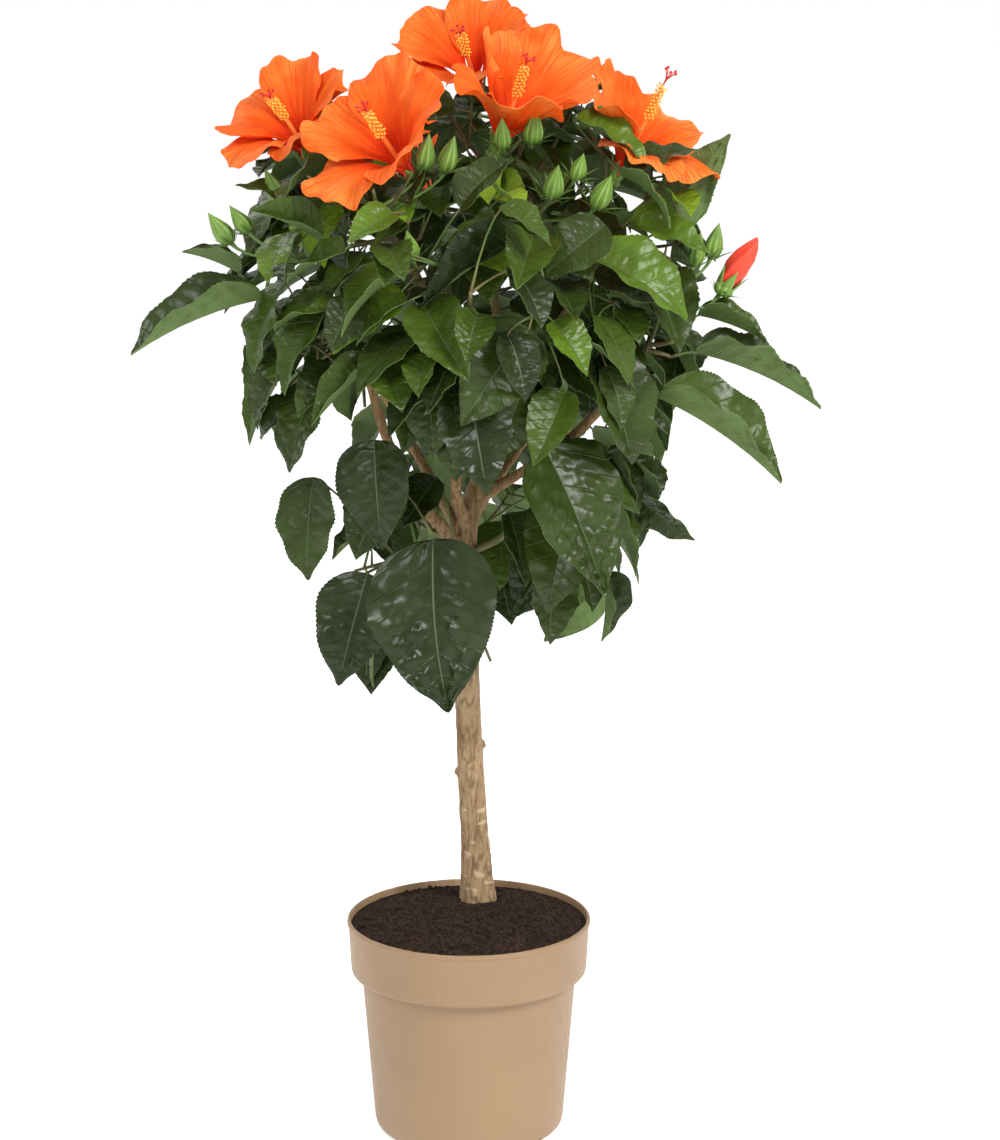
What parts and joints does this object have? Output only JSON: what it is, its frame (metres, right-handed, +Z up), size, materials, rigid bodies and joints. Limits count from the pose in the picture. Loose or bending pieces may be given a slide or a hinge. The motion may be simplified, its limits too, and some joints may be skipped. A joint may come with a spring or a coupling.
{
  "type": "potted standard hibiscus shrub",
  "caption": "Small flowering hibiscus grown as a standard: bare trunk, round leafy crown with large open blooms and buds, in a plain round pot.",
  "frame": {"origin": "middle of the pot's flat underside, on the ground", "axes": "+Z up the trunk, -Y towards the side with the most blooms, +X to the right of it"},
  "size_m": [0.5078, 0.3859, 0.8787],
  "materials": {
    "pot": "satin sand-coloured plastic with a thin rim",
    "compost": "dark brown crumbly compost",
    "bark": "tan bark with fine cracks and pale flecks",
    "foliage": "glossy dark green leaves on green shoots",
    "petal": "thin orange petals, red in the throat",
    "bud": "ribbed light green buds and calyces"
  },
  "bodies": {
    "root": {"pot": "pot", "compost": "compost", "trunk": "bark", "bough_left": "bark", "bough_upper_left": "bark", "bough_front": "bark", "bough_right": "bark", "bough_upper_right": "bark", "bough_back_left": "bark", "bough_back_right": "bark", "bough_back_top": "bark", "foliage_skirt_left": "foliage", "foliage_skirt_right": "foliage", "foliage_left": "foliage", "foliage_front": "foliage", "foliage_right": "foliage", "foliage_top_left": "foliage", "foliage_top": "foliage", "foliage_top_right": "foliage", "foliage_back_left": "foliage", "foliage_back_right": "foliage", "foliage_back_low": "foliage", "foliage_back_top": "foliage"}
  },
  "joints": []
}
